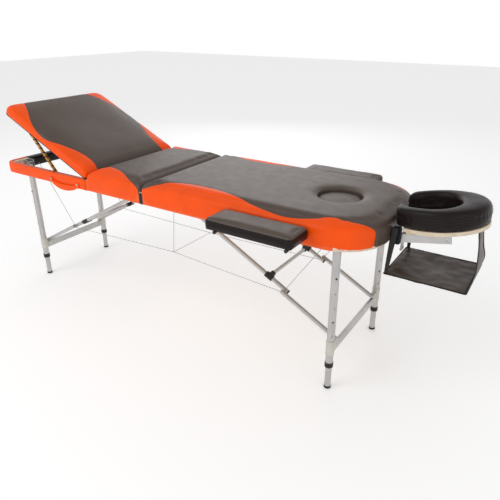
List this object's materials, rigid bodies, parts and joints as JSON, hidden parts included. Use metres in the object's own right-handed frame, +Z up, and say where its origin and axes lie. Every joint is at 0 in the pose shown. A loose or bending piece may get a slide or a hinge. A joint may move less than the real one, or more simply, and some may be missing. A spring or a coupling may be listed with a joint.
{
  "type": "portable massage table",
  "caption": "Folding three-section massage table with telescopic aluminium legs, raising back rest, face opening, arm rests and tilting horseshoe head rest with arm sling",
  "frame": {"origin": "on the floor under the middle of the whole length, head rest included, and under the middle of the width", "axes": "+X along the table towards the head rest, +Y across to the far side, +Z up"},
  "size_m": [2.1269, 0.812, 0.8946],
  "materials": {
    "orange_vinyl": "satin, fine grain",
    "dark_vinyl": "satin, fine grain",
    "aluminium": "satin anodised",
    "cream_plastic": "satin moulded",
    "black_plastic": "satin moulded",
    "steel": "zinc plated",
    "cable_steel": "stranded wire",
    "black_steel": "satin black paint",
    "plywood": "clear lacquer",
    "prop_wood": "clear lacquer",
    "rubber": "matte",
    "sling_fabric": "soft coated fabric"
  },
  "bodies": {
    "foot_half": {"foot_frame": "orange_vinyl", "foot_leg_block": "plywood", "seat_board": "plywood", "seat_pad": "dark_vinyl", "foot_hardware": "steel", "carry_handle": "orange_vinyl", "cable_near_foot": "cable_steel", "cable_far_foot": "cable_steel", "cable_stays_foot": "cable_steel"},
    "head_half": {"head_frame": "orange_vinyl", "head_board": "plywood", "head_pad": "dark_vinyl", "head_hardware": "steel", "cable_near_head": "cable_steel", "cable_far_head": "cable_steel", "cable_stays_head": "cable_steel", "cable_centre": "cable_steel"},
    "backrest": {"backrest_board": "plywood", "backrest_pad": "dark_vinyl", "backrest_hardware": "steel"},
    "prop_near": {"prop_near": "prop_wood"},
    "prop_far": {"prop_far": "prop_wood"},
    "face_plug": {"face_plug": "dark_vinyl"},
    "arm_near": {"arm_pad_near": "dark_vinyl", "arm_carrier_near": "aluminium"},
    "arm_far": {"arm_pad_far": "dark_vinyl", "arm_carrier_far": "aluminium"},
    "rest_carrier": {"rest_rods": "steel", "rest_yoke": "black_steel"},
    "rest_lever": {"rest_lever": "steel"},
    "rest_top": {"rest_bars": "aluminium", "rest_platform": "plywood", "rest_cushion": "dark_vinyl", "sling_panel": "sling_fabric", "sling_straps": "sling_fabric"},
    "head_legs": {"head_leg_tubes": "aluminium", "head_leg_collars": "black_plastic", "head_leg_fittings": "cream_plastic"},
    "head_upper": {"head_upper_braces": "aluminium", "head_brace_fittings": "black_plastic"},
    "head_lower": {"head_lower_braces": "aluminium"},
    "head_leg_near": {"head_leg_near_inner": "aluminium", "head_leg_near_tip": "rubber"},
    "head_button_near": {"head_button_near": "black_plastic"},
    "head_leg_far": {"head_leg_far_inner": "aluminium", "head_leg_far_tip": "rubber"},
    "head_button_far": {"head_button_far": "black_plastic"},
    "foot_legs": {"foot_leg_tubes": "aluminium", "foot_leg_collars": "black_plastic", "foot_leg_fittings": "cream_plastic"},
    "foot_upper": {"foot_upper_braces": "aluminium", "foot_brace_fittings": "black_plastic"},
    "foot_lower": {"foot_lower_braces": "aluminium"},
    "foot_leg_near": {"foot_leg_near_inner": "aluminium", "foot_leg_near_tip": "rubber"},
    "foot_button_near": {"foot_button_near": "black_plastic"},
    "foot_leg_far": {"foot_leg_far_inner": "aluminium", "foot_leg_far_tip": "rubber"},
    "foot_button_far": {"foot_button_far": "black_plastic"}
  },
  "joints": [
    {"name": "fold", "type": "hinge", "parent": "foot_half", "child": "head_half", "pos_m": [-0.1735, 0, 0.573], "axis": [0, 1, 0], "range_deg": [0, 180], "deforming": ["cable_near_foot", "cable_far_foot", "cable_stays_foot", "cable_near_head", "cable_far_head", "cable_stays_head", "cable_centre"]},
    {"name": "head_legs_fold", "type": "hinge", "parent": "head_half", "child": "head_legs", "pos_m": [0.6505, 0, 0.595], "axis": [0, 1, 0], "range_deg": [0, 90]},
    {"name": "foot_legs_fold", "type": "hinge", "parent": "foot_half", "child": "foot_legs", "pos_m": [-0.9975, 0, 0.595], "axis": [0, -1, 0], "range_deg": [0, 90]},
    {"name": "head_upper_brace", "type": "hinge", "parent": "head_half", "child": "head_upper", "pos_m": [-0.1375, 0, 0.61], "axis": [0, -1, 0], "range_deg": [0, 28.4]},
    {"name": "foot_upper_brace", "type": "hinge", "parent": "foot_half", "child": "foot_upper", "pos_m": [-0.2095, 0, 0.61], "axis": [0, 1, 0], "range_deg": [0, 28.4]},
    {"name": "head_lower_brace", "type": "hinge", "parent": "head_legs", "child": "head_lower", "pos_m": [0.6505, 0, 0.185], "axis": [0, 1, 0], "range_deg": [0, 60.4]},
    {"name": "foot_lower_brace", "type": "hinge", "parent": "foot_legs", "child": "foot_lower", "pos_m": [-0.9975, 0, 0.185], "axis": [0, -1, 0], "range_deg": [0, 60.4]},
    {"name": "head_leg_near_extend", "type": "slide", "parent": "head_legs", "child": "head_leg_near", "axis": [0, 0, -1], "range_m": [0, 0.171]},
    {"name": "head_button_near_press", "type": "slide", "parent": "head_legs", "child": "head_button_near", "axis": [-0.6428, 0.766, 0], "range_m": [0, 0.0017], "stiffness_N_per_m": 400},
    {"name": "head_leg_far_extend", "type": "slide", "parent": "head_legs", "child": "head_leg_far", "axis": [0, 0, -1], "range_m": [0, 0.171]},
    {"name": "head_button_far_press", "type": "slide", "parent": "head_legs", "child": "head_button_far", "axis": [-0.6428, 0.766, 0], "range_m": [0, 0.0017], "stiffness_N_per_m": 400},
    {"name": "foot_leg_near_extend", "type": "slide", "parent": "foot_legs", "child": "foot_leg_near", "axis": [0, 0, -1], "range_m": [0, 0.171]},
    {"name": "foot_button_near_press", "type": "slide", "parent": "foot_legs", "child": "foot_button_near", "axis": [0.1736, 0.9848, 0], "range_m": [0, 0.0017], "stiffness_N_per_m": 400},
    {"name": "foot_leg_far_extend", "type": "slide", "parent": "foot_legs", "child": "foot_leg_far", "axis": [0, 0, -1], "range_m": [0, 0.171]},
    {"name": "foot_button_far_press", "type": "slide", "parent": "foot_legs", "child": "foot_button_far", "axis": [0.1736, 0.9848, 0], "range_m": [0, 0.0017], "stiffness_N_per_m": 400},
    {"name": "backrest_tilt", "type": "hinge", "parent": "foot_half", "child": "backrest", "pos_m": [-0.4925, 0, 0.6196], "axis": [0, 1, 0], "range_deg": [-25, 10]},
    {"name": "prop_near_fold", "type": "hinge", "parent": "backrest", "child": "prop_near", "pos_m": [-0.89417, -0.245, 0.79697], "axis": [0, 1, 0], "range_deg": [-22.6, 9.1]},
    {"name": "prop_far_fold", "type": "hinge", "parent": "backrest", "child": "prop_far", "pos_m": [-0.89417, 0.245, 0.79697], "axis": [0, 1, 0], "range_deg": [-22.6, 9.1]},
    {"name": "face_plug_lift", "type": "slide", "parent": "head_half", "child": "face_plug", "axis": [0, 0, 1], "range_m": [0, 0.08]},
    {"name": "arm_near_pull", "type": "slide", "parent": "head_half", "child": "arm_near", "axis": [0, -1, 0], "range_m": [0, 0.06]},
    {"name": "arm_far_pull", "type": "slide", "parent": "head_half", "child": "arm_far", "axis": [0, 1, 0], "range_m": [0, 0.06]},
    {"name": "rest_pull", "type": "slide", "parent": "head_half", "child": "rest_carrier", "axis": [1, 0, 0], "range_m": [0, 0.05]},
    {"name": "rest_lever_turn", "type": "hinge", "parent": "rest_carrier", "child": "rest_lever", "pos_m": [0.7985, 0, 0.57], "axis": [0, 1, 0], "range_deg": [-30, 60]},
    {"name": "rest_tilt", "type": "hinge", "parent": "rest_carrier", "child": "rest_top", "pos_m": [0.7985, 0, 0.6], "axis": [0, -1, 0], "range_deg": [-8, 2]}
  ],
  "couplings": [
    {"joint": "head_legs_fold", "follows": "fold", "ratio": 0.5},
    {"joint": "foot_legs_fold", "follows": "fold", "ratio": 0.5},
    {"joint": "head_upper_brace", "follows": "fold", "ratio": 0.15744},
    {"joint": "foot_upper_brace", "follows": "fold", "ratio": 0.15744},
    {"joint": "head_lower_brace", "follows": "fold", "ratio": 0.335},
    {"joint": "foot_lower_brace", "follows": "fold", "ratio": 0.335},
    {"joint": "prop_near_fold", "follows": "backrest_tilt", "ratio": 0.9},
    {"joint": "prop_far_fold", "follows": "backrest_tilt", "ratio": 0.9}
  ]
}
